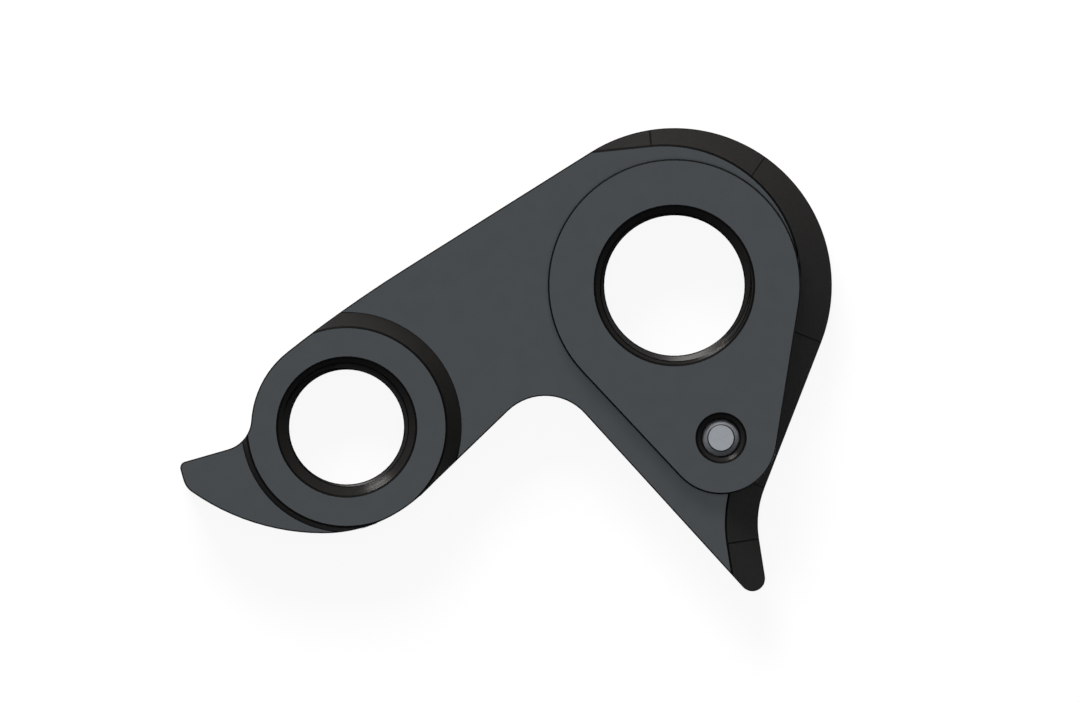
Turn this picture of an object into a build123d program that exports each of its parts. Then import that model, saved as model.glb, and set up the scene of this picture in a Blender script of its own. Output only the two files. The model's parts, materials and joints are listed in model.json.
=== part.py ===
# Rear derailleur hanger for a through-axle frame, drive side, with the screw that holds it to the frame.
# Lengths are millimetres and angles degrees. The flat inboard face lies on XY, +Z points outboard,
# and the origin is the centre of the axle thread on the inboard face.

import os
from math import asin, atan2, cos, degrees, radians, sin, sqrt, tan

from build123d import *

os.makedirs("parts", exist_ok=True)

# Levels: the plate, and what stands above it
plate_thickness = 6.85
tab_rise = 0.75
boss_rise = 1.15
pad_rise = 1.65
slope = 45.0

# Axle thread, M12 x 1, bored to its tapping size
axle_bore = 11.0
axle_lead_in = 0.75
lobe_radius = 12.35
pad_radius = 9.9

# Derailleur thread, M10 x 1, bored to its tapping size
derailleur_reach = 28.0
derailleur_bore = 9.0
derailleur_lead_in = 0.95
boss_radius = 7.85
boss_end_radius = 7.5

# Arm from the derailleur thread up to the axle thread
arm_angle = 23.35
back_swell = 0.57
back_radius = 105.0
belly_drop = 8.34
belly_shift = 1.85
belly_radius = 11.3
belly_sweep = 44.0
lower_edge_turn = 20.65
notch_radius = 4.2

# Stop tab for the derailleur's tension screw
tab_turn = 7.35
tab_length = 13.45
tab_end_height = 1.95
tab_corner_radius = 1.65
stop_height = 0.88
stop_root_radius = 2.5
stop_corner_radius = 0.5

# Fixing screw, M3 countersunk, put in from the inboard side
screw_reach = 12.5
screw_angle = -72.97
screw_pad_radius = 4.4
screw_edge = 4.6
screw_diameter = 2.9
screw_recess = 0.1
screw_tip_depth = 0.4
screw_tip_chamfer = 0.4
screw_clearance = 0.05
screw_lead_in = 0.42
head_diameter = 5.6
head_edge = 0.25
head_angle = 90.0
socket_size = 2.0
socket_depth = 1.1

# Nose below the fixing screw
nose_shift = 3.96
nose_drop = 14.17
nose_lean = 8.94
nose_taper = 33.39
nose_tip_radius = 1.0
hollow_radius = 7.7

# Sloping flank along the lobe and the nose
flank_width = 2.5
flank_radius = 10.7
flank_top_angle = 5.7


def polar(centre, radius, angle):
    """Point at a radius and an angle about a centre."""
    return (centre[0] + radius * cos(radians(angle)), centre[1] + radius * sin(radians(angle)))


def bearing(centre, point):
    """Angle at which a point lies about a centre, from 0 to 360."""
    return degrees(atan2(point[1] - centre[1], point[0] - centre[0])) % 360


def meet(p, p_angle, q, q_angle):
    """Point where the line through p meets the line through q."""
    turn = sin(radians(q_angle - p_angle))
    along = ((q[0] - p[0]) * sin(radians(q_angle)) - (q[1] - p[1]) * cos(radians(q_angle))) / turn
    return polar(p, along, p_angle)


# Levels above the inboard face, and the centres that everything hangs on
tab_thickness = plate_thickness + tab_rise
boss_thickness = plate_thickness + boss_rise
pad_thickness = plate_thickness + pad_rise
axle = (0.0, 0.0)
boss = polar(axle, -derailleur_reach, arm_angle)
screw_place = polar(axle, screw_reach, screw_angle)
beyond = 2 * derailleur_reach

# Upper edge, tangent to the lobe, and the long arc that brings it onto the end of the boss
upper_gap = boss_end_radius + back_swell
upper_edge_angle = arm_angle + degrees(asin((lobe_radius - upper_gap) / derailleur_reach))
lobe_left = polar(axle, lobe_radius, upper_edge_angle + 90)
back_run = sqrt((back_radius - boss_end_radius) ** 2 - (back_radius - upper_gap) ** 2)
back_start = polar(polar(boss, upper_gap, upper_edge_angle + 90), back_run, upper_edge_angle)
back_centre = polar(back_start, back_radius, upper_edge_angle - 90)
back_end_angle = bearing(back_centre, boss)

# Stop tab, whose upper edge starts on the end of the boss
tab_angle = arm_angle + 180 - tab_turn
stop_line = polar(boss, stop_height, tab_angle - 90)
stop_root = polar(stop_line, sqrt(boss_end_radius**2 - stop_height**2), tab_angle)
stop_corner = polar(stop_line, tab_length, tab_angle)
tab_corner = polar(stop_corner, tab_end_height, tab_angle + 90)

# Underside, from the tab round the belly and along the arm to the notch
lower_edge_angle = arm_angle + lower_edge_turn
under_angle = lower_edge_angle - belly_sweep
belly_low = polar(polar(boss, belly_drop, under_angle - 90), -belly_shift, under_angle)
belly_centre = polar(belly_low, belly_radius, under_angle + 90)
belly_end = polar(belly_centre, belly_radius, lower_edge_angle - 90)

# Nose, and the right edge that passes the screw and is tangent to the lobe
nose = (screw_place[0] + nose_shift, screw_place[1] - nose_drop)
nose_side_angle = 90 + nose_lean
notch = meet(belly_end, lower_edge_angle, nose, nose_side_angle + nose_taper)
right_edge_angle = 180 + screw_angle - degrees(asin((lobe_radius - screw_edge) / screw_reach))
lobe_right = polar(axle, lobe_radius, right_edge_angle - 90)
hollow = meet(lobe_right, right_edge_angle, nose, nose_side_angle)

# Top edge of the sloping flank, parallel to the nose and the right edge and then round the lobe
flank_nose = polar(nose, flank_width, nose_side_angle + 90)
flank_bottom = polar(flank_nose, -beyond, nose_side_angle)
flank_right = polar(axle, lobe_radius - flank_width, right_edge_angle - 90)
flank_hollow = meet(flank_right, right_edge_angle, flank_nose, nose_side_angle)
flank_centre = polar(flank_right, flank_radius, right_edge_angle + 90)
flank_sweep = 180 + flank_top_angle - right_edge_angle
flank_top = polar(flank_centre, flank_radius, flank_top_angle + 90)
flank_far = polar(flank_top, -beyond, flank_top_angle)

with BuildSketch() as outline:
    with BuildLine():
        CenterArc(axle, lobe_radius, right_edge_angle - 90, 180 + upper_edge_angle - right_edge_angle)
        Line(lobe_left, back_start)
        CenterArc(back_centre, back_radius, upper_edge_angle + 90, back_end_angle - upper_edge_angle - 90)
        CenterArc(boss, boss_end_radius, back_end_angle, bearing(boss, stop_root) - back_end_angle)
        Polyline(stop_root, stop_corner, tab_corner)
        TangentArc(belly_low, tab_corner, tangent=polar(axle, -1, under_angle))
        CenterArc(belly_centre, belly_radius, under_angle - 90, belly_sweep)
        Polyline(belly_end, notch, nose, hollow, lobe_right)
    make_face()
    for corner, radius in (
        (stop_root, stop_root_radius),
        (stop_corner, stop_corner_radius),
        (tab_corner, tab_corner_radius),
        (notch, notch_radius),
        (nose, nose_tip_radius),
        (hollow, hollow_radius),
    ):
        fillet(outline.vertices().sort_by_distance(corner)[0], radius)

# Boss that the derailleur bolts against: a cone, trimmed by the outline
with BuildPart() as boss_cone:
    with BuildSketch(Plane.XY.offset(plate_thickness)):
        with Locations(boss):
            Circle(boss_radius + boss_rise * tan(radians(slope)))
    extrude(amount=boss_rise, taper=slope)
    extrude(outline.sketch, amount=boss_thickness, mode=Mode.INTERSECT)

with BuildPart() as hanger_body:
    # Plate, cut back by the sloping flank
    extrude(outline.sketch, amount=plate_thickness)
    with BuildSketch(Plane.XY.offset(plate_thickness)) as flank:
        with BuildLine():
            CenterArc(flank_centre, flank_radius, right_edge_angle - 90, flank_sweep)
            Polyline(flank_top, flank_far, (flank_far[0], flank_bottom[1]), flank_bottom)
            Polyline(flank_bottom, flank_hollow, flank_right)
        make_face()
        fillet(flank.vertices().sort_by_distance(flank_hollow)[0], hollow_radius + flank_width)
    extrude(amount=-plate_thickness, taper=-slope, mode=Mode.INTERSECT)
    # Boss, and the tab behind it at a level of its own
    add(boss_cone.part)
    with BuildSketch():
        with Locations(boss):
            Rectangle(beyond, beyond, rotation=arm_angle, align=(Align.MAX, Align.CENTER))
        add(outline.sketch, mode=Mode.INTERSECT)
    extrude(amount=tab_thickness)
    # Raised pad round the axle thread and the screw
    with BuildSketch():
        with Locations(axle):
            Circle(pad_radius)
        with Locations(screw_place):
            Circle(screw_pad_radius)
        make_hull()
        add(outline.sketch, mode=Mode.INTERSECT)
    extrude(amount=pad_thickness)
    # Threads, each with a lead-in at both ends
    with Locations((*axle, pad_thickness)):
        Hole(axle_bore / 2)
    chamfer(hanger_body.edges(Select.LAST).filter_by(GeomType.CIRCLE), axle_lead_in)
    with Locations((*boss, boss_thickness)):
        Hole(derailleur_bore / 2)
    chamfer(hanger_body.edges(Select.LAST).filter_by(GeomType.CIRCLE), derailleur_lead_in)
    # Screw hole, countersunk in the inboard face and with a lead-in on the pad
    seat_depth = head_edge + screw_recess
    seat_gap = screw_clearance / cos(radians(head_angle / 2))
    seat_radius = head_diameter / 2 + seat_depth * tan(radians(head_angle / 2)) + seat_gap
    with Locations(Location((*screw_place, 0), (180, 0, 0))):
        CounterSinkHole(screw_diameter / 2 + screw_clearance, seat_radius, pad_thickness, head_angle)
    screw_rims = hanger_body.edges(Select.LAST).filter_by(GeomType.CIRCLE)
    chamfer(screw_rims.sort_by(Axis.Z)[-1], screw_lead_in)

with BuildPart() as fixing_screw:
    shank_radius = screw_diameter / 2
    head_radius = head_diameter / 2
    head_top = screw_recess + head_edge
    head_length = (head_radius - shank_radius) / tan(radians(head_angle / 2))
    tip = pad_thickness - screw_tip_depth
    with BuildSketch(Plane(origin=(*screw_place, 0), x_dir=(1, 0, 0), z_dir=(0, -1, 0))):
        with BuildLine():
            Polyline(
                (0, screw_recess),
                (head_radius, screw_recess),
                (head_radius, head_top),
                (shank_radius, head_top + head_length),
                (shank_radius, tip - screw_tip_chamfer),
                (shank_radius - screw_tip_chamfer, tip),
                (0, tip),
                close=True,
            )
        make_face()
    revolve(axis=Axis((*screw_place, 0), (0, 0, 1)))
    with BuildSketch(Plane.XY.offset(screw_recess)):
        with Locations(screw_place):
            RegularPolygon(socket_size / 2, 6, major_radius=False)
    extrude(amount=socket_depth, mode=Mode.SUBTRACT)

hanger_body.part.label = "hanger_body"
fixing_screw.part.label = "fixing_screw"
export_step(hanger_body.part, "parts/hanger_body.step")
export_step(fixing_screw.part, "parts/fixing_screw.step")
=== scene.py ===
# %% [markdown]
# # Dressing a machined derailleur hanger
# The hanger is milled from one block of aluminium and anodised black. A small steel screw sits in it.
# The solids arrive finished in shape, so this lesson adds what a drawing leaves out: the two finishes,
# broken edges, real thread turns, and a plain studio that looks straight down on the part.

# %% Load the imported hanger
import json
import math
from collections import Counter, namedtuple
from functools import partial

import bmesh
import bpy
from mathutils import Matrix, Vector


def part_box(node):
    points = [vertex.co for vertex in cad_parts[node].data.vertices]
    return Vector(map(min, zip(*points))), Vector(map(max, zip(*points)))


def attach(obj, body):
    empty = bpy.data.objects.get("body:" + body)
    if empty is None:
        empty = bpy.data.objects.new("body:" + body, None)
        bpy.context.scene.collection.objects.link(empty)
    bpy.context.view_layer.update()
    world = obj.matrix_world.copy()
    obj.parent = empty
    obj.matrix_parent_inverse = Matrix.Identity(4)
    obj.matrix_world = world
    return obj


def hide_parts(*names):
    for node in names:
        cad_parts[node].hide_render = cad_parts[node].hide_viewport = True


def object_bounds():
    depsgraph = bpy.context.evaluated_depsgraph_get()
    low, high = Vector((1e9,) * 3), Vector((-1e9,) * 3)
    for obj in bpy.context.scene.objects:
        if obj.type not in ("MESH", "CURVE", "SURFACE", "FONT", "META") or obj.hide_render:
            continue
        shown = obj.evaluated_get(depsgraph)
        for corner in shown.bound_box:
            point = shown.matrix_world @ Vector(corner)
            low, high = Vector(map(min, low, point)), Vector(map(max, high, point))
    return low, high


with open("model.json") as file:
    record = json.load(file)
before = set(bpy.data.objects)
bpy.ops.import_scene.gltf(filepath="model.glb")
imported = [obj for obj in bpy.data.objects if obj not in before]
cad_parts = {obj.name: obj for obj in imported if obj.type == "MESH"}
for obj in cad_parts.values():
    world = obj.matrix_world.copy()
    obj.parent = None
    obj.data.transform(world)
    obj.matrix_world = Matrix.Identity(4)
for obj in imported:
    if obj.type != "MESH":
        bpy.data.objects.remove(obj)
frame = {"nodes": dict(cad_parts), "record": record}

MM = 0.001


def in_mm(point):
    """A frame point, which is in metres, in millimetres."""
    return [value / MM for value in point]


mounts = {mount["name"]: mount for mount in frame["record"]["mounts"]}
cad_low, cad_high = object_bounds()
body_low, body_high = (in_mm(corner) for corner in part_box("hanger_body"))
screw_low, screw_high = (in_mm(corner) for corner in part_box("fixing_screw"))
screw_axis = [(low + high) / 2 for low, high in zip(screw_low, screw_high)]
print("nodes:", sorted(frame["nodes"]))
print("box in mm:", [round(side / MM, 2) for side in cad_high - cad_low])

# %% [markdown]
# ## The threads
# The axle and the derailleur bolt go into threads, which the solids leave out. The frame's mounts give
# each hole's place and radius, and the rest is the metric standard. The screw has no mount, so its
# radii are set here. How low a thread starts decides where its first turn runs out in the lead-in.
# The threads are described first, because three steps need them: the finish, which darkens the edges
# of the turns, the choice of edges to break, and the cutting.

# %% Describe the three threads
Thread = namedtuple("Thread", "name place wall root pitch line low high")
FLANK = math.tan(math.radians(30))
ROOT_FLAT = 1 / 8
PAST = 1.5
HOLE_PITCH, HOLE_LINE = 1.0, 0.08
AXLE_RUN_OUT, DERAILLEUR_RUN_OUT = 0.175, 0.289
SHANK_RADIUS, SHANK_ROOT, SHANK_START = 1.45, 1.22, 2.2
SHANK_PITCH, SHANK_LINE = 0.5, 0.04


def hole_thread(name, run_out):
    """Thread of a mount, which passes both faces of the hanger."""
    place, wall = in_mm(mounts[name]["pos_m"]), mounts[name]["dims"]["r_mm"]
    root = wall + HOLE_PITCH / 2
    low, high = body_low[2] - PAST - run_out, body_high[2] + PAST
    return Thread(name, place, wall, root, HOLE_PITCH, HOLE_LINE, low, high)


hole_threads = (
    hole_thread("axle_thread", AXLE_RUN_OUT),
    hole_thread("derailleur_thread", DERAILLEUR_RUN_OUT),
)
screw_threads = (
    Thread(
        "screw_thread",
        place=screw_axis,
        wall=SHANK_RADIUS,
        root=SHANK_ROOT,
        pitch=SHANK_PITCH,
        line=SHANK_LINE,
        low=SHANK_START,
        high=screw_high[2] + PAST,
    ),
)
for thread in hole_threads + screw_threads:
    print(thread.name, "has its wall at", thread.wall, "mm and its root at", thread.root, "mm")

# %% [markdown]
# ## Black anodised aluminium
# Anodising grows a thin glassy oxide on the metal and dyes it. It keeps the surface below, so the satin
# look is that of fine bead blasting. The slopes are given a darker, warmer colour that mirrors less:
# painted shade.
# The colour is close to black, and the grey of a level face is mostly the lamp that it mirrors.
# The grain could be an image, but a noise in millimetres needs no unwrapping and keeps its size.
# The cutter's lines lie at constant height, so a band pattern along Z draws them on slopes and walls
# and leaves every level face alone. Small helpers keep the recipes of both metals short.

# %% Node helpers for tone
NOISE_LOW, NOISE_HIGH = 0.3, 0.7


def new_finish(name):
    """Material with a Principled shader. Returns it with its nodes, its links and the shader."""
    material = bpy.data.materials.new(name)
    material.use_nodes = True
    nodes, links = material.node_tree.nodes, material.node_tree.links
    return material, nodes, links, nodes["Principled BSDF"]


def millimetres(nodes, links):
    """Object coordinates counted in millimetres."""
    coordinates = nodes.new("ShaderNodeTexCoord")
    mapping = nodes.new("ShaderNodeMapping")
    mapping.inputs["Scale"].default_value = Vector((1, 1, 1)) / MM
    links.new(coordinates.outputs["Object"], mapping.inputs["Vector"])
    return mapping.outputs["Vector"]


def noise(nodes, links, vector, size, detail):
    """Noise whose patches are about size millimetres wide."""
    texture = nodes.new("ShaderNodeTexNoise")
    texture.inputs["Scale"].default_value = 1 / size
    texture.inputs["Detail"].default_value = detail
    links.new(vector, texture.inputs["Vector"])
    return texture.outputs["Fac"]


def tint(nodes, links, value, dark, light):
    """Colour that runs between two tones with a noise."""
    ramp = nodes.new("ShaderNodeValToRGB")
    first, last = ramp.color_ramp.elements
    first.position, last.position = NOISE_LOW, NOISE_HIGH
    first.color, last.color = (*dark, 1), (*light, 1)
    links.new(value, ramp.inputs["Fac"])
    return ramp.outputs["Color"]


def spread(nodes, links, value, middle, reach):
    """Number that runs with a noise from a reach below its middle to a reach above it."""
    stretch = nodes.new("ShaderNodeMapRange")
    stretch.inputs["From Min"].default_value = NOISE_LOW
    stretch.inputs["From Max"].default_value = NOISE_HIGH
    stretch.inputs["To Min"].default_value = middle - reach
    stretch.inputs["To Max"].default_value = middle + reach
    links.new(value, stretch.inputs["Value"])
    return stretch.outputs["Result"]


print("a noise is read between", NOISE_LOW, "and", NOISE_HIGH, "because it stays near its middle")

# %% [markdown]
# Relief too fine to model is a bump: a height whose slope bends the light. Both metals show the lines
# of a tool, in bands on the milled part and in rings on the turned one, and one wave texture does both.
# Math nodes work out where on a surface something is, as a formula would.

# %% Node helpers for relief and sums
WAVE_AXIS = "Z"


def wave(nodes, links, vector, kind, scale, distortion):
    """Waves in bands along the axis or in rings about it."""
    texture = nodes.new("ShaderNodeTexWave")
    texture.wave_type = kind
    texture.bands_direction = texture.rings_direction = WAVE_AXIS
    texture.inputs["Scale"].default_value = scale
    texture.inputs["Distortion"].default_value = distortion
    links.new(vector, texture.inputs["Vector"])
    return texture.outputs["Fac"]


def bump(nodes, links, height, depth, normal=None):
    """Bump of a depth in millimetres, on top of another one if given."""
    relief = nodes.new("ShaderNodeBump")
    relief.inputs["Strength"].default_value = 1.0
    relief.inputs["Distance"].default_value = depth * MM
    links.new(height, relief.inputs["Height"])
    if normal is not None:
        links.new(normal, relief.inputs["Normal"])
    return relief.outputs["Normal"]


def calc(nodes, links, operation, *terms):
    """Math node. Each term is a number or a socket."""
    node = nodes.new("ShaderNodeMath")
    node.operation = operation
    for socket, term in zip(node.inputs, terms):
        if isinstance(term, bpy.types.NodeSocket):
            links.new(term, socket)
        else:
            socket.default_value = term
    return node.outputs["Value"]


print("tool lines run along or about", WAVE_AXIS)

# %% [markdown]
# ### Dark lines beside a thread
# A dark line is painted along the edges of the thread turns. In the lead-in it runs on both sides
# of the spiral. More cuts in the mesh could carry it, but so many fine faces don't survive a boolean.
# So it is worked out from the place on the slope: the height above the nearest turn, less half the
# width of the V there, is how far away the turn's edge is. The foot of the slope is dark too.

# %% Dark lines beside a thread
# Near-black tone painted on broken edges and beside the thread turns, as a dark line along each.
EDGE_TONE = (0.002, 0.002, 0.002)


def thread_lines(nodes, links, vector, thread):
    """One close to the edges of a thread's turns on its lead-in, and nought elsewhere."""
    do = partial(calc, nodes, links)
    split = nodes.new("ShaderNodeSeparateXYZ")
    links.new(vector, split.inputs["Vector"])
    x = do("SUBTRACT", split.outputs["X"], thread.place[0])
    y = do("SUBTRACT", split.outputs["Y"], thread.place[1])
    z = do("SUBTRACT", split.outputs["Z"], thread.low)
    radius = do("SQRT", do("ADD", do("MULTIPLY", x, x), do("MULTIPLY", y, y)))
    climb = do("MULTIPLY", do("ARCTAN2", y, x), thread.pitch / math.tau)
    above = do("WRAP", do("SUBTRACT", z, climb), thread.pitch / 2, -thread.pitch / 2)
    half_at_axis = thread.pitch * ROOT_FLAT / 2 + thread.root * FLANK
    half = do("MULTIPLY_ADD", radius, -FLANK, half_at_axis)
    away = do("SUBTRACT", do("ABSOLUTE", above), half)
    width = do("MULTIPLY_ADD", do("SIGN", above), thread.line * FLANK, thread.line)
    beside = do("LESS_THAN", away, width)
    inside = do("LESS_THAN", radius, thread.root + thread.line)
    foot = do("LESS_THAN", radius, thread.wall + thread.line)
    return do("MAXIMUM", do("MULTIPLY", beside, inside), foot)


def darken(nodes, links, colour, share):
    """Colour that gives way to the tone of the edges where the share is one."""
    mix = nodes.new("ShaderNodeMix")
    mix.data_type = "RGBA"
    links.new(share, mix.inputs["Factor"])
    links.new(colour, mix.inputs["A"])
    mix.inputs["B"].default_value = (*EDGE_TONE, 1)
    return mix.outputs["Result"]


print("lines beside the threads are about", HOLE_LINE, "mm wide")

# %% [markdown]
# ### Four finishes on one part
# Level faces and walls, broken edges, thread turns and slopes get four finishes of one metal, and the
# slopes' finish is painted shade. One material with masks could hold them all, but four materials from
# one recipe are easier to read and to change. Each runs between two tones. Gloss is how much of a lamp it
# mirrors.

# %% The anodised finishes
def anodised(name, dark, light, rough, gloss, threads=()):
    """Black anodised aluminium between two tones, with blasted grain, cutter lines and thread lines."""
    material, nodes, links, shader = new_finish(name)
    vector = millimetres(nodes, links)
    patches = noise(nodes, links, vector, size=0.35, detail=4)
    colour = tint(nodes, links, patches, dark, light)
    for thread in threads:
        colour = darken(nodes, links, colour, thread_lines(nodes, links, vector, thread))
    links.new(colour, shader.inputs["Base Color"])
    shader.inputs["Specular IOR Level"].default_value = gloss
    cloud = noise(nodes, links, vector, size=1.4, detail=3)
    links.new(spread(nodes, links, cloud, rough, reach=0.01), shader.inputs["Roughness"])
    lines = wave(nodes, links, vector, "BANDS", scale=1.1, distortion=0.4)
    cutter_lines = bump(nodes, links, lines, depth=0.0010)
    blasting = noise(nodes, links, vector, size=0.16, detail=2)
    grain = bump(nodes, links, blasting, depth=0.0006, normal=cutter_lines)
    links.new(grain, shader.inputs["Normal"])
    print(name, "runs from", dark, "to", light)
    return material


anodised_finishes = (
    anodised("anodised_face", (0.0118, 0.0134, 0.0147), (0.0128, 0.0144, 0.0157), rough=0.25, gloss=0.20),
    anodised("anodised_edge", EDGE_TONE, (0.003, 0.003, 0.003), rough=0.50, gloss=0.02),
    anodised("anodised_thread", (0.012, 0.012, 0.012), (0.014, 0.014, 0.014), rough=0.28, gloss=0.14),
    # The slope finish is darker, warmer and mirrors less than the face finish: painted shade.
    anodised(
        "anodised_slope",
        (0.0104, 0.0100, 0.0096),
        (0.0114, 0.0110, 0.0106),
        rough=0.25,
        gloss=0.098,
        threads=hole_threads,
    ),
)

# %% [markdown]
# ## Turned steel
# The screw is plain steel under a thin film of oxide, which makes it less of a mirror. Its end was faced
# on a lathe, which leaves rings about its axis, so a ring pattern is centred there by a Mapping node.
# Rings in the mesh would be finer than the picture can show, so they are a bump.
# The edges of the thread turns are painted darker, as a dark line.

# %% The steel finishes
METAL_SHARE = 0.4


def turned_steel(name, dark, light, rough):
    """Steel between two tones, with rings about the screw's axis."""
    material, nodes, links, shader = new_finish(name)
    vector = millimetres(nodes, links)
    patches = noise(nodes, links, vector, size=0.3, detail=3)
    links.new(tint(nodes, links, patches, dark, light), shader.inputs["Base Color"])
    cloud = noise(nodes, links, vector, size=0.5, detail=3)
    links.new(spread(nodes, links, cloud, rough, reach=0.02), shader.inputs["Roughness"])
    centre = nodes.new("ShaderNodeMapping")
    centre.inputs["Location"].default_value = (-screw_axis[0], -screw_axis[1], 0)
    links.new(vector, centre.inputs["Vector"])
    rings = wave(nodes, links, centre.outputs["Vector"], "RINGS", scale=3.0, distortion=0.6)
    links.new(bump(nodes, links, rings, depth=0.0005), shader.inputs["Normal"])
    shader.inputs["Metallic"].default_value = METAL_SHARE
    print(name, "runs from", dark, "to", light)
    return material


steel_finishes = (
    turned_steel("steel_face", (0.190, 0.200, 0.216), (0.208, 0.218, 0.234), rough=0.45),
    turned_steel("steel_edge", (0.010, 0.010, 0.012), (0.014, 0.014, 0.016), rough=0.55),
    turned_steel("steel_thread", (0.150, 0.160, 0.174), (0.170, 0.180, 0.194), rough=0.45),
)

# %% [markdown]
# ## A clean copy of each solid
# A node of the frame can't be changed, so each piece is a copy of it. The copy is merged first, because
# each surface arrives as a patch of its own, and flat triangles are dissolved, so that a bevel meets
# whole faces. The borders of the patches are kept as seams, which the next steps read.
# The work is done in millimetres, because Blender's bevel loses small steps when lengths are in metres.

# %% Copy the two nodes
MERGE = 0.0001
SHORT = 0.03
FLAT = math.radians(0.5)


def clean_copy(node):
    """Mesh of a node in millimetres, merged and dissolved, with the borders of its patches as seams."""
    bm = bmesh.new()
    bm.from_mesh(frame["nodes"][node].data)
    bmesh.ops.scale(bm, vec=Vector((1, 1, 1)) / MM, verts=bm.verts)
    for edge in bm.edges:
        edge.seam = edge.is_boundary
    bmesh.ops.remove_doubles(bm, verts=bm.verts, dist=MERGE)
    bmesh.ops.dissolve_degenerate(bm, dist=SHORT, edges=bm.edges)
    bmesh.ops.dissolve_limit(bm, angle_limit=FLAT, verts=bm.verts, edges=bm.edges, delimit={"SEAM"})
    bm.normal_update()
    print(node, "is copied with", len(bm.faces), "faces")
    return bm


hanger_bm = clean_copy("hanger_body")
screw_bm = clean_copy("fixing_screw")

# %% [markdown]
# ## The slopes
# All slopes of the hanger lean at 45 degrees and look up, which is how they are found and given their
# own finish. Where two stretches of the sloping flank run into each other, the cutter leaves a fine
# witness line. Most lie on a seam. One more lies inside the lobe's arc, where no patch ends, so the
# flank is split there at its bearing. A drawn line would do from above, but a split can be bevelled.

# %% Find the slopes and split the flank
SLOPE_RISE, SLOPE_SPARE = math.cos(math.radians(45)), 0.02
FLANK_TOP = 6.9
FLANK_SPLIT = math.radians(54.8)
FACE_SLOT, EDGE_SLOT, THREAD_SLOT, SLOPE_SLOT = 0, 1, 2, 3


def is_slope(face):
    """True for a face that leans at 45 degrees and looks up."""
    return abs(face.normal.z - SLOPE_RISE) < SLOPE_SPARE


def is_flank(face):
    """True for a face of the sloping flank, the only slope that ends as low as the plate."""
    return face.material_index == SLOPE_SLOT and max(vert.co.z for vert in face.verts) < FLANK_TOP


def split_flank(bm):
    """Split the sloping flank at a bearing about the axle and mark the split as a seam."""
    along = Vector((math.cos(FLANK_SPLIT), math.sin(FLANK_SPLIT), 0))
    faces = [face for face in bm.faces if is_flank(face) and face.calc_center_median().dot(along) > 0]
    edges = {edge for face in faces for edge in face.edges}
    verts = {vert for face in faces for vert in face.verts}
    split = bmesh.ops.bisect_plane(
        bm,
        geom=[*verts, *edges, *faces],
        dist=MERGE,
        plane_co=(0, 0, 0),
        plane_no=along.cross(Vector((0, 0, 1))),
    )
    for part in split["geom_cut"]:
        if isinstance(part, bmesh.types.BMEdge):
            part.seam = True


# Slopes take the slot of the darker finish, which is painted shade.
for face in hanger_bm.faces:
    face.material_index = SLOPE_SLOT if is_slope(face) else FACE_SLOT
split_flank(hanger_bm)
hanger_bm.normal_update()
print("slopes:", sum(face.material_index == SLOPE_SLOT for face in hanger_bm.faces), "faces")
print("of the flank:", sum(is_flank(face) for face in hanger_bm.faces), "faces")

# %% [markdown]
# ## Which edges to break
# A machinist breaks every edge, or it cuts fingers and the anodising burns there. The break is a tenth
# of a millimetre, but it is what draws the dark line along each edge of the part. An inner corner
# only keeps the small radius of the cutter, so its line is finer, and a witness line is finer than an
# outer edge too. Edges could be picked by hand, but the angle between two faces finds them all, and
# each gets a weight, its share of the width. The walls of the threads are left out: the turns cut them up.

# %% Weigh the edges
SHARP = math.radians(20)
ON_WALL = 0.03
WEIGHTS = {"outer": 1.0, "inner": 0.3, "witness": 0.45}


def at_wall(edge, threads):
    """True for an edge that lies on the wall of a thread."""
    for thread in threads:
        offsets = [math.dist(vert.co.xy, thread.place[:2]) - thread.wall for vert in edge.verts]
        if max(abs(offset) for offset in offsets) < ON_WALL:
            return True
    return False


def edge_kind(edge, threads):
    """The kind of break that an edge gets, or None."""
    if edge.calc_face_angle() > SHARP and not at_wall(edge, threads):
        return "outer" if edge.is_convex else "inner"
    if edge.seam and all(is_flank(face) for face in edge.link_faces):
        return "witness"
    return None


def weigh_edges(bm, threads):
    """Give each edge the weight of its break. Returns how many edges there are of each kind."""
    layer = bm.edges.layers.float.new("bevel_weight_edge")
    kinds = Counter()
    for edge in bm.edges:
        kind = edge_kind(edge, threads)
        if kind is not None:
            edge[layer] = WEIGHTS[kind]
            kinds[kind] += 1
    return dict(kinds)


print("hanger edges:", weigh_edges(hanger_bm, hole_threads))
print("screw edges:", weigh_edges(screw_bm, screw_threads))

# %% [markdown]
# The two meshes now become objects. A finish is chosen per face by the number of its slot, so the order
# of the finishes is that of the slots: face, edge, thread and slope.

# %% Make the two pieces
def new_piece(name, bm, finishes):
    """Object with the mesh and with the finishes in its slots."""
    mesh = bpy.data.meshes.new(name)
    bm.to_mesh(mesh)
    bm.free()
    for finish in finishes:
        mesh.materials.append(finish)
    piece = bpy.data.objects.new(name, mesh)
    bpy.context.scene.collection.objects.link(piece)
    return piece


hanger = new_piece("hanger", hanger_bm, anodised_finishes)
screw = new_piece("screw", screw_bm, steel_finishes)
print("pieces:", hanger.name, "and", screw.name)

# %% [markdown]
# ## Cutting the threads
# A thread could be painted as stripes, but then it has no depth from the side. Here a tap is modelled:
# a V section spun up a helix, which a boolean takes away. A metric thread's flanks meet at 60 degrees,
# and the root of the V is cut flat at an eighth of the pitch. A narrow strip of each flank, next to
# the wall, has the edge finish. The cut comes before any edge is broken, because a boolean is only
# sure of a clean solid, and the broken edges would pass through each other here and there.
# A boolean leaves some vertices almost on top of each other. They are merged, so that the mesh
# stays closed when its coordinates are rounded in a file.

# %% Mesh helpers
def bake(piece):
    """Turn the piece's modifiers into mesh."""
    evaluated = piece.evaluated_get(bpy.context.evaluated_depsgraph_get())
    finished = bpy.data.meshes.new_from_object(evaluated)
    piece.modifiers.clear()
    piece.data = finished


def merge_close(mesh):
    """Merge vertices that lie almost on top of each other."""
    bm = bmesh.new()
    bm.from_mesh(mesh)
    bmesh.ops.remove_doubles(bm, verts=bm.verts, dist=MERGE)
    bm.to_mesh(mesh)
    bm.free()


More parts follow.
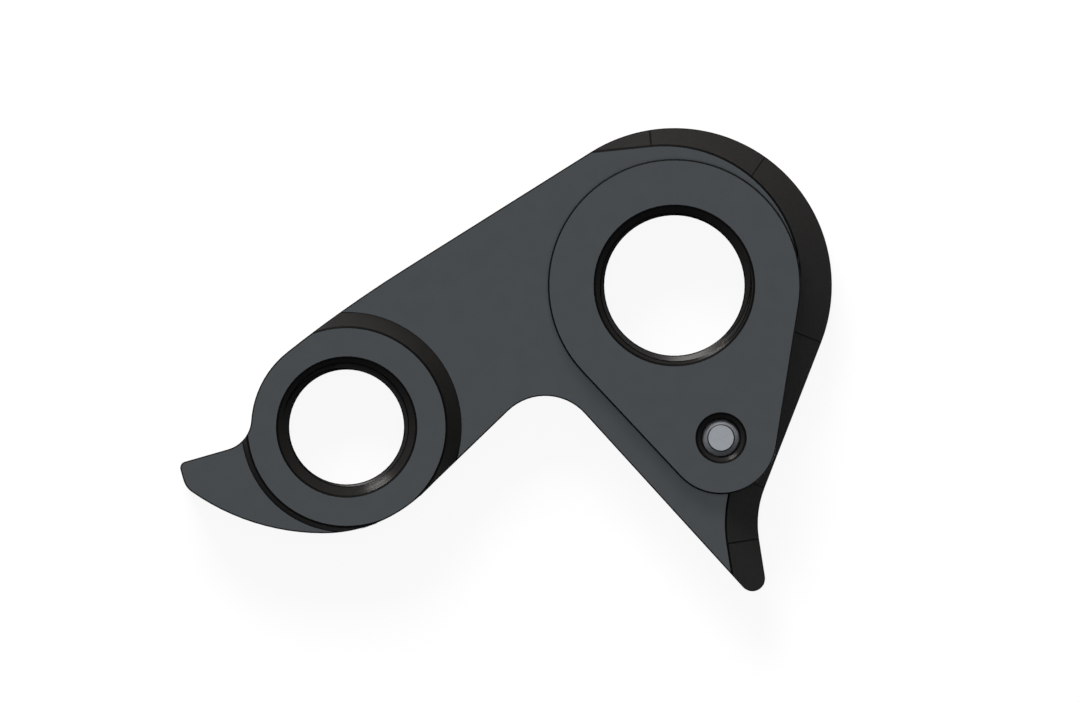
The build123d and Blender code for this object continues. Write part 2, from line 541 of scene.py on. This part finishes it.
def open_edges(mesh):
    """How many edges don't have exactly two faces."""
    bm = bmesh.new()
    bm.from_mesh(mesh)
    count = sum(1 for edge in bm.edges if len(edge.link_faces) != 2)
    bm.free()
    return count


print("open edges before the cuts:", open_edges(hanger.data), "and", open_edges(screw.data))

# %% [markdown]
# The section has six corners, three on each side: at the root, at the inner end of the edge strip, and
# clear of the wall, so that no face of the tap lies on a face of the part. Spin lifts it by a little at
# each step. A Screw modifier would do the same, but here the faces are sorted by finish on the way.

# %% Spin a V section up a helix
STEPS_PER_TURN = 96
CLEAR_SHARE = 0.25


def tap_section(thread):
    """Corners of the V as pairs of a radius and a height."""
    depth = thread.root - thread.wall
    strip = thread.wall + math.copysign(thread.line, depth)
    radii = (thread.root, strip, thread.wall - CLEAR_SHARE * depth)
    flat = thread.pitch * ROOT_FLAT / 2
    upper = [(radius, flat + abs(thread.root - radius) * FLANK) for radius in radii]
    return upper + [(radius, -half) for radius, half in reversed(upper)]


def thread_cutter(thread, finishes):
    """Closed helical cutter whose V starts clear of the wall and ends at the root radius."""
    x, y, _ = thread.place
    section = tap_section(thread)
    turns = math.ceil((thread.high - thread.low) / thread.pitch)
    bm = bmesh.new()
    corners = [bm.verts.new((x + radius, y, thread.low + height)) for radius, height in section]
    ring = [bm.edges.new((corners[i - 1], corners[i])) for i in range(len(corners))]
    bmesh.ops.spin(
        bm,
        geom=corners + ring,
        cent=(x, y, 0),
        axis=(0, 0, 1),
        dvec=(0, 0, thread.pitch / STEPS_PER_TURN),
        angle=turns * math.tau,
        steps=turns * STEPS_PER_TURN,
        use_merge=False,
        use_duplicate=False,
    )
    bmesh.ops.holes_fill(bm, edges=bm.edges, sides=len(section))
    bmesh.ops.recalc_face_normals(bm, faces=bm.faces)
    for face in bm.faces:
        to_root = [abs(math.dist(vert.co.xy, (x, y)) - thread.root) for vert in face.verts]
        face.material_index = THREAD_SLOT if min(to_root) < thread.line / 2 else EDGE_SLOT
    cutter = new_piece(thread.name, bm, finishes)
    print(thread.name, "turns", turns, "times, open edges", open_edges(cutter.data))
    return cutter


hole_cutters = [thread_cutter(thread, anodised_finishes) for thread in hole_threads]
screw_cutters = [thread_cutter(thread, steel_finishes) for thread in screw_threads]

# %% [markdown]
# The exact solver is slower than the fast one, but it keeps a mesh closed where many faces cross. The
# cut faces take the finish of the tap by the number of its slot. The taps are removed after their cut.

# %% Cut the three threads
def cut(piece, cutter):
    """Take the cutter away from the piece for good."""
    knife = piece.modifiers.new(cutter.name, "BOOLEAN")
    knife.operation = "DIFFERENCE"
    knife.solver = "EXACT"
    knife.material_mode = "INDEX"
    knife.object = cutter
    bake(piece)
    merge_close(piece.data)
    bpy.data.objects.remove(cutter)
    print(piece.name, "now has", len(piece.data.polygons), "faces, open edges", open_edges(piece.data))


for cutter in hole_cutters:
    cut(hanger, cutter)
for cutter in screw_cutters:
    cut(screw, cutter)

# %% [markdown]
# ## Breaking the edges
# One Bevel modifier rounds all weighed edges at once, so the corners where they meet come out clean,
# and it gives the new faces the edge finish. The weights came through the booleans. They are the same
# all along an edge, because a width that changes along a smooth run throws the corners far off.

# %% Break the weighed edges
HANGER_BREAK, SCREW_BREAK = 0.10, 0.06


def break_edges(piece, width):
    """Round each weighed edge by its share of the width, with the edge finish."""
    rounds = piece.modifiers.new("broken edges", "BEVEL")
    rounds.affect = "EDGES"
    rounds.limit_method = "WEIGHT"
    rounds.offset_type = "OFFSET"
    rounds.width = width
    rounds.segments = 2
    rounds.profile = 0.5
    rounds.material = EDGE_SLOT
    rounds.use_clamp_overlap = False
    bake(piece)
    print(piece.name, "has", len(piece.data.polygons), "faces, open edges", open_edges(piece.data))


break_edges(hanger, HANGER_BREAK)
break_edges(screw, SCREW_BREAK)

# %% [markdown]
# ## Back to metres, and how the light reads the faces
# The pieces go back to metres and ride where their nodes are. Every face is smooth except across real
# corners and between finishes, where a shared normal would smear one into the other. Large faces keep
# their own normal, so that a flat face doesn't bulge next to its break.

# %% Seat each piece on its node
CORNER = math.radians(32)


def crease_finishes(mesh):
    """Mark the edges at which one finish meets another as sharp."""
    bm = bmesh.new()
    bm.from_mesh(mesh)
    for edge in bm.edges:
        if len({face.material_index for face in edge.link_faces}) > 1:
            edge.smooth = False
    bm.to_mesh(mesh)
    bm.free()


def seat(piece, node):
    """Scale a finished piece to metres and let it stand for its node."""
    piece.data.transform(Matrix.Scale(MM, 4))
    piece.data.shade_smooth()
    piece.data.set_sharp_from_angle(angle=CORNER)
    crease_finishes(piece.data)
    flats = piece.modifiers.new("flat faces stay flat", "WEIGHTED_NORMAL")
    flats.keep_sharp = True
    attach(piece, "root")
    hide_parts(node)
    triangles = sum(len(face.vertices) - 2 for face in piece.data.polygons)
    print(piece.name, "stands for", node, "with", triangles, "triangles")


seat(hanger, "hanger_body")
seat(screw, "fixing_screw")

# %% [markdown]
# ## The floor
# The part lies on a white floor on its flat inboard face. A white world would do for the background,
# but then the part has no shadow and seems to float. So there is a real floor, which glows white for
# what the camera sees of it, directly or in a mirror. The glow stops short of all of it, and the rest
# is plain paint, which keeps a faint shadow.

# %% Floor
FLOOR_SIDE, FLOOR_GAP = 4.0, 0.00002
FLOOR_TONE, FLOOR_ROUGH = 0.93, 0.9
WHITE_SHARE = 0.92
floor_finish, nodes, links, paint = new_finish("pale_floor")
paint.inputs["Base Color"].default_value = (FLOOR_TONE, FLOOR_TONE, FLOOR_TONE, 1)
paint.inputs["Roughness"].default_value = FLOOR_ROUGH
paint.inputs["Specular IOR Level"].default_value = 0.0
glow = nodes.new("ShaderNodeEmission")
rays = nodes.new("ShaderNodeLightPath").outputs
straight = calc(nodes, links, "MAXIMUM", rays["Is Camera Ray"], rays["Is Glossy Ray"])
seen = calc(nodes, links, "MAXIMUM", straight, rays["Is Transmission Ray"])
blend = nodes.new("ShaderNodeMixShader")
links.new(calc(nodes, links, "MULTIPLY", seen, WHITE_SHARE), blend.inputs["Fac"])
links.new(paint.outputs["BSDF"], blend.inputs[1])
links.new(glow.outputs["Emission"], blend.inputs[2])
links.new(blend.outputs["Shader"], nodes["Material Output"].inputs["Surface"])

floor_bm = bmesh.new()
bmesh.ops.create_grid(floor_bm, x_segments=1, y_segments=1, size=FLOOR_SIDE / 2)
bmesh.ops.translate(floor_bm, vec=(0, 0, cad_low.z - FLOOR_GAP), verts=floor_bm.verts)
floor = new_piece("floor", floor_bm, [floor_finish])
print("floor at", round((cad_low.z - FLOOR_GAP) / MM, 3), "mm")

# %% [markdown]
# ## The lamps
# From above, level faces mirror the lamp overhead and slopes mirror what stands near the horizon, and
# that is what tells the two apart in a dark satin part. So a lamp overhead lifts the level faces, a
# key lamp from the top of the picture models the slopes, and a low strip a little further left leaves
# a gleam on slopes that face it. Area lamps are used, because a small lamp would give hard shadows.

# %% Lamps
def lamp(name, azimuth, elevation, distance, size, radiance, colour):
    """Area lamp that looks at the part from a bearing and a height, both in degrees."""
    light = bpy.data.lights.new(name, "AREA")
    light.shape = "RECTANGLE"
    light.size, light.size_y = size
    light.energy = math.pi * radiance * size[0] * size[1]
    light.color = colour
    lamp_object = bpy.data.objects.new(name, light)
    bearing, rise = math.radians(azimuth), math.radians(elevation)
    out = Vector((math.cos(rise) * math.cos(bearing), math.cos(rise) * math.sin(bearing), math.sin(rise)))
    lamp_object.location = (cad_low + cad_high) / 2 + out * distance
    lamp_object.rotation_euler = out.to_track_quat("Z", "Y").to_euler()
    lamp_object.visible_camera = False
    bpy.context.scene.collection.objects.link(lamp_object)
    print(name, "gives", round(light.energy, 2), "W")


lamp(
    "overhead",
    azimuth=90,
    elevation=90,
    distance=1.0,
    size=(0.36, 0.36),
    radiance=3.95,
    colour=(0.90, 1.0, 1.08),
)
lamp(
    "key",
    azimuth=105,
    elevation=42,
    distance=0.9,
    size=(0.40, 0.40),
    radiance=25.0,
    colour=(1.0, 0.97, 0.94),
)
lamp(
    "strip",
    azimuth=120,
    elevation=7,
    distance=0.9,
    size=(0.30, 0.16),
    radiance=34.0,
    colour=(1.0, 0.96, 0.92),
)

# %% [markdown]
# ## The room
# A black room would leave the walls without any fill light, and an even grey one would take the
# contrast out of the slopes. So the room is dark near the horizon and pale above it, as in a studio
# with a bright ceiling.

# %% The room around it
HORIZON, CEILING = 0.04, 0.25
DARK_UP_TO, PALE_FROM = math.radians(15), math.radians(35)
world = bpy.data.worlds.new("studio")
world.use_nodes = True
world_nodes, world_links = world.node_tree.nodes, world.node_tree.links
direction = world_nodes.new("ShaderNodeTexCoord")
split = world_nodes.new("ShaderNodeSeparateXYZ")
level = world_nodes.new("ShaderNodeMapRange")
level.inputs["From Min"].default_value = math.sin(DARK_UP_TO)
level.inputs["From Max"].default_value = math.sin(PALE_FROM)
level.inputs["To Min"].default_value = HORIZON
level.inputs["To Max"].default_value = CEILING
world_links.new(direction.outputs["Generated"], split.inputs["Vector"])
world_links.new(split.outputs["Z"], level.inputs["Value"])
world_nodes["Background"].inputs["Color"].default_value = (1, 1, 1, 1)
world_links.new(level.outputs["Result"], world_nodes["Background"].inputs["Strength"])
bpy.context.scene.world = world
print("the room goes from", HORIZON, "at the horizon to", CEILING, "above")

# %% [markdown]
# ## The camera
# The picture is a straight view down the axle without perspective. A long lens would come close, but
# the walls of the holes would still show, so the camera is orthographic. Its width in millimetres is
# the picture's width divided by the scale that the two threads give.

# %% Camera
PICTURE_WIDTH, PICTURE_HEIGHT = 1080, 702
AXLE_PIXEL = (674.4, 285.5)
PIXELS_PER_MM = 12.751
CAMERA_HEIGHT = 0.4
camera_data = bpy.data.cameras.new("camera")
camera_data.type = "ORTHO"
camera_data.ortho_scale = PICTURE_WIDTH / PIXELS_PER_MM * MM
camera = bpy.data.objects.new("camera", camera_data)
camera.location = (
    (PICTURE_WIDTH / 2 - AXLE_PIXEL[0]) / PIXELS_PER_MM * MM,
    (AXLE_PIXEL[1] - PICTURE_HEIGHT / 2) / PIXELS_PER_MM * MM,
    CAMERA_HEIGHT,
)
bpy.context.scene.collection.objects.link(camera)
bpy.context.scene.camera = camera
bpy.context.scene.view_settings.view_transform = "Standard"
print("the picture is", round(camera_data.ortho_scale / MM, 2), "mm wide")
